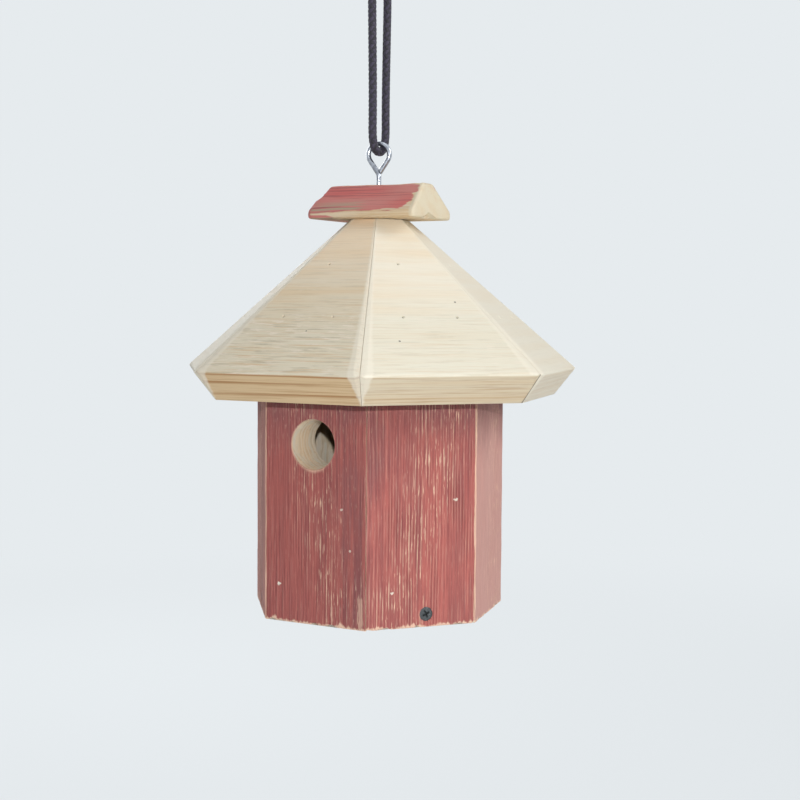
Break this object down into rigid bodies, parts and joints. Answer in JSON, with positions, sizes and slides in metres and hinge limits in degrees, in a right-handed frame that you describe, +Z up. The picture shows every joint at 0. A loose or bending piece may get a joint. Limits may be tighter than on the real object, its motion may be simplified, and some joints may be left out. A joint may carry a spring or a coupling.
{
  "type": "birdhouse",
  "caption": "Hanging wren house of mitred boards: weathered red walls with a round entrance, a bare wood hipped roof, a red ridge cap, a screw eye and a looped black cord.",
  "frame": {"origin": "where the cord loop hangs on its hook, on the house's upright axis", "axes": "+Z up along the house's axis; -Y out of the entrance board; +X to the right seen from the entrance"},
  "size_m": [0.2432, 0.2377, 0.4194],
  "materials": {
    "barn_red_board": "weathered barn-red paint, worn along the grain",
    "bare_roof_board": "bare sanded softwood",
    "barn_red_cap": "weathered barn-red paint with bare sawn ends",
    "inside_board": "bare rough-sawn softwood",
    "brad_steel": "dull bright steel",
    "black_screw": "black phosphate",
    "zinc_plated_wire": "bright zinc plate",
    "black_cord": "braided black cord"
  },
  "bodies": {
    "cord_loop": {"cord_front_strand": "black_cord", "cord_back_strand": "black_cord", "hanging_knot": "black_cord"},
    "eye": {"screw_eye": "zinc_plated_wire"},
    "house": {"wall_front": "barn_red_board", "wall_front_right": "barn_red_board", "wall_right": "barn_red_board", "wall_back_right": "barn_red_board", "wall_back_left": "barn_red_board", "wall_left": "barn_red_board", "wall_front_left": "barn_red_board", "roof_panel_front": "bare_roof_board", "roof_panel_front_right": "bare_roof_board", "roof_panel_right": "bare_roof_board", "roof_panel_back_right": "bare_roof_board", "roof_panel_back_left": "bare_roof_board", "roof_panel_left": "bare_roof_board", "roof_panel_front_left": "bare_roof_board", "roof_brads": "brad_steel", "floor_board": "inside_board", "peak_block": "inside_board", "roof_cap": "barn_red_cap"},
    "front_right_screw": {"floor_screw_front_right": "black_screw"},
    "front_left_screw": {"floor_screw_front_left": "black_screw"},
    "back_right_screw": {"floor_screw_back_right": "black_screw"}
  },
  "joints": [
    {"name": "house_swing", "type": "hinge", "parent": "cord_loop", "child": "eye", "pos_m": [0, 0, -0.094], "axis": [0.9781, 0.2079, 0], "range_deg": [-30, 30]},
    {"name": "eye_turn", "type": "hinge", "parent": "eye", "child": "house", "pos_m": [0, 0, -0.1401], "axis": [0, 0, 1], "range_deg": [-90, 90]},
    {"name": "front_right_screw_out", "type": "slide", "parent": "house", "child": "front_right_screw", "axis": [0.7818, -0.6235, 0], "range_m": [0, 0.0413]},
    {"name": "front_left_screw_out", "type": "slide", "parent": "house", "child": "front_left_screw", "axis": [-0.7818, -0.6235, 0], "range_m": [0, 0.0413]},
    {"name": "back_right_screw_out", "type": "slide", "parent": "house", "child": "back_right_screw", "axis": [0.4339, 0.901, 0], "range_m": [0, 0.0413]}
  ]
}
